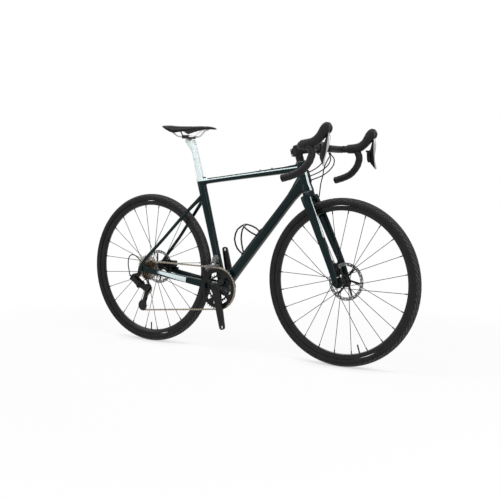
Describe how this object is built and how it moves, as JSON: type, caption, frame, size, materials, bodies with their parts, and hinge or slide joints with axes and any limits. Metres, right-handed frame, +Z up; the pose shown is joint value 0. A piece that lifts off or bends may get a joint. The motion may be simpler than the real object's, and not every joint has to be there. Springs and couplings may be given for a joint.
{
  "type": "drop-bar road bicycle",
  "caption": "Drop-bar all-road bicycle with disc brakes, a double crankset, a bottle cage and wide tyres, shown without pedals.",
  "frame": {"origin": "on the ground, midway between the two tyre contact points in the bicycle's centre plane", "axes": "+X forward, +Y to the rider's left, +Z up"},
  "size_m": [1.7168, 0.4826, 1.0151],
  "materials": {
    "frame_paint": "deep green gloss paint over moulded carbon",
    "fork_paint": "deep green gloss paint over moulded carbon",
    "post_paint": "pale mint gloss paint",
    "black_alloy": "satin black anodised",
    "gloss_black": "gloss black",
    "silver_alloy": "satin silver",
    "steel_plain": "plain steel",
    "chain_steel": "plated steel with a warm tint",
    "rotor_steel": "ground steel",
    "tyre_rubber": "matt black with fine tread",
    "grip_rubber": "matt black",
    "tape": "matt black cushioned tape",
    "saddle_cover": "matt black cover",
    "hose": "black jacket",
    "rim_black": "satin black",
    "spoke_black": "black"
  },
  "bodies": {
    "frameset": {"frame": "frame_paint", "headset_bearings": "steel_plain", "bottom_bracket": "black_alloy", "derailleur_hanger": "black_alloy", "rear_axle": "black_alloy", "bottle_cage": "gloss_black", "frame_bolts": "black_alloy", "bottle_bosses": "black_alloy", "cable_port": "gloss_black", "rear_caliper": "black_alloy", "rear_pads": "steel_plain", "fd_bracket": "black_alloy", "rear_housing": "hose", "rd_bracket": "black_alloy"},
    "seat": {"seatpost": "post_paint", "saddle_clamp": "black_alloy", "saddle_rails": "silver_alloy", "saddle": "saddle_cover"},
    "steering": {"fork": "fork_paint", "headset_spacers": "black_alloy", "stem": "black_alloy", "stem_faceplate": "black_alloy", "cockpit_bolts": "steel_plain", "handlebar": "black_alloy", "bar_tape": "tape", "right_hood": "grip_rubber", "left_hood": "grip_rubber", "front_axle": "black_alloy", "front_caliper": "black_alloy", "front_pads": "steel_plain", "front_brake_hose": "hose", "control_lines": "hose"},
    "right_lever": {"right_brake_lever": "black_alloy"},
    "left_lever": {"left_brake_lever": "black_alloy"},
    "right_paddle": {"right_shift_paddle": "gloss_black"},
    "left_paddle": {"left_shift_paddle": "gloss_black"},
    "front_wheel": {"front_tyre": "tyre_rubber", "front_rim": "rim_black", "front_spokes": "spoke_black", "front_hub": "black_alloy", "front_rotor": "rotor_steel"},
    "rear_wheel": {"rear_tyre": "tyre_rubber", "rear_rim": "rim_black", "rear_spokes": "spoke_black", "rear_hub": "black_alloy", "rear_rotor": "rotor_steel"},
    "cassette": {"cassette": "chain_steel"},
    "crankset": {"right_crank": "black_alloy", "big_chainring": "black_alloy", "small_chainring": "black_alloy", "left_crank": "black_alloy", "chain": "chain_steel"},
    "rd_outer_link": {"rd_outer_link": "black_alloy"},
    "rd_inner_link": {"rd_inner_link": "black_alloy"},
    "rd_knuckle": {"rd_knuckle": "black_alloy"},
    "rd_cage": {"rd_cage": "black_alloy"},
    "guide_pulley": {"guide_pulley": "gloss_black"},
    "tension_pulley": {"tension_pulley": "gloss_black"},
    "fd_link": {"fd_link": "silver_alloy"},
    "fd_cage": {"fd_cage": "silver_alloy"}
  },
  "joints": [
    {"name": "steering", "type": "hinge", "parent": "frameset", "child": "steering", "pos_m": [0.30214, 0, 0.84485], "axis": [-0.3007, 0, 0.9537], "range_deg": [-50, 50], "deforming": ["control_lines"]},
    {"name": "seat_height", "type": "slide", "parent": "frameset", "child": "seat", "axis": [-0.2672, 0, 0.9636], "range_m": [-0.08, 0.04]},
    {"name": "front_wheel_spin", "type": "hinge", "parent": "steering", "child": "front_wheel", "pos_m": [0.5085, 0, 0.35], "axis": [0, 1, 0], "continuous": true},
    {"name": "rear_wheel_spin", "type": "hinge", "parent": "frameset", "child": "rear_wheel", "pos_m": [-0.5085, 0, 0.35], "axis": [0, 1, 0], "continuous": true},
    {"name": "crank_spin", "type": "hinge", "parent": "frameset", "child": "crankset", "pos_m": [-0.08764, 0, 0.284], "axis": [0, 1, 0], "continuous": true, "deforming": ["chain"]},
    {"name": "cassette_spin", "type": "hinge", "parent": "frameset", "child": "cassette", "pos_m": [-0.5085, 0, 0.35], "axis": [0, 1, 0], "continuous": true},
    {"name": "rd_shift", "type": "hinge", "parent": "frameset", "child": "rd_outer_link", "pos_m": [-0.5485, -0.088, 0.304], "axis": [0.6259, 0, 0.7799], "range_deg": [-25, 25]},
    {"name": "rd_inner_swing", "type": "hinge", "parent": "frameset", "child": "rd_inner_link", "pos_m": [-0.5485, -0.07, 0.304], "axis": [0.6259, 0, 0.7799], "range_deg": [-25, 25]},
    {"name": "rd_knuckle_swing", "type": "hinge", "parent": "rd_outer_link", "child": "rd_knuckle", "pos_m": [-0.51419, -0.088, 0.27646], "axis": [0.6259, 0, 0.7799], "range_deg": [-25, 25]},
    {"name": "rd_cage_swing", "type": "hinge", "parent": "rd_knuckle", "child": "rd_cage", "pos_m": [-0.4905, -0.06, 0.26], "axis": [0, 1, 0], "range_deg": [-35, 20], "stiffness_Nm_per_rad": 0.5},
    {"name": "guide_pulley_spin", "type": "hinge", "parent": "rd_cage", "child": "guide_pulley", "pos_m": [-0.4945, -0.0463, 0.252], "axis": [0, 1, 0], "continuous": true},
    {"name": "tension_pulley_spin", "type": "hinge", "parent": "rd_cage", "child": "tension_pulley", "pos_m": [-0.5205, -0.0463, 0.172], "axis": [0, 1, 0], "continuous": true},
    {"name": "fd_shift", "type": "hinge", "parent": "frameset", "child": "fd_link", "pos_m": [-0.11764, -0.027, 0.416], "axis": [1, 0, 0], "range_deg": [-3, 22]},
    {"name": "fd_cage_swing", "type": "hinge", "parent": "fd_link", "child": "fd_cage", "pos_m": [-0.11764, -0.04, 0.399], "axis": [1, 0, 0], "range_deg": [-22, 3]},
    {"name": "right_brake_pull", "type": "hinge", "parent": "steering", "child": "right_lever", "pos_m": [0.53825, -0.202, 0.95347], "axis": [0, 1, 0], "range_deg": [0, 12], "stiffness_Nm_per_rad": 1.5, "springref_deg": -5.73},
    {"name": "right_shift_push", "type": "hinge", "parent": "right_lever", "child": "right_paddle", "pos_m": [0.51725, -0.196, 0.89747], "axis": [1, 0, 0], "range_deg": [0, 20], "stiffness_Nm_per_rad": 0.2, "springref_deg": -5.73},
    {"name": "left_brake_pull", "type": "hinge", "parent": "steering", "child": "left_lever", "pos_m": [0.53825, 0.202, 0.95347], "axis": [0, 1, 0], "range_deg": [0, 12], "stiffness_Nm_per_rad": 1.5, "springref_deg": -5.73},
    {"name": "left_shift_push", "type": "hinge", "parent": "left_lever", "child": "left_paddle", "pos_m": [0.51725, 0.196, 0.89747], "axis": [-1, 0, 0], "range_deg": [0, 20], "stiffness_Nm_per_rad": 0.2, "springref_deg": -5.73}
  ],
  "couplings": [
    {"joint": "cassette_spin", "follows": "crank_spin", "ratio": 2.7059},
    {"joint": "guide_pulley_spin", "follows": "crank_spin", "ratio": -4.1818},
    {"joint": "tension_pulley_spin", "follows": "crank_spin", "ratio": 4.1818},
    {"joint": "rd_inner_swing", "follows": "rd_shift", "ratio": 1},
    {"joint": "rd_knuckle_swing", "follows": "rd_shift", "ratio": -1},
    {"joint": "fd_cage_swing", "follows": "fd_shift", "ratio": -1}
  ]
}
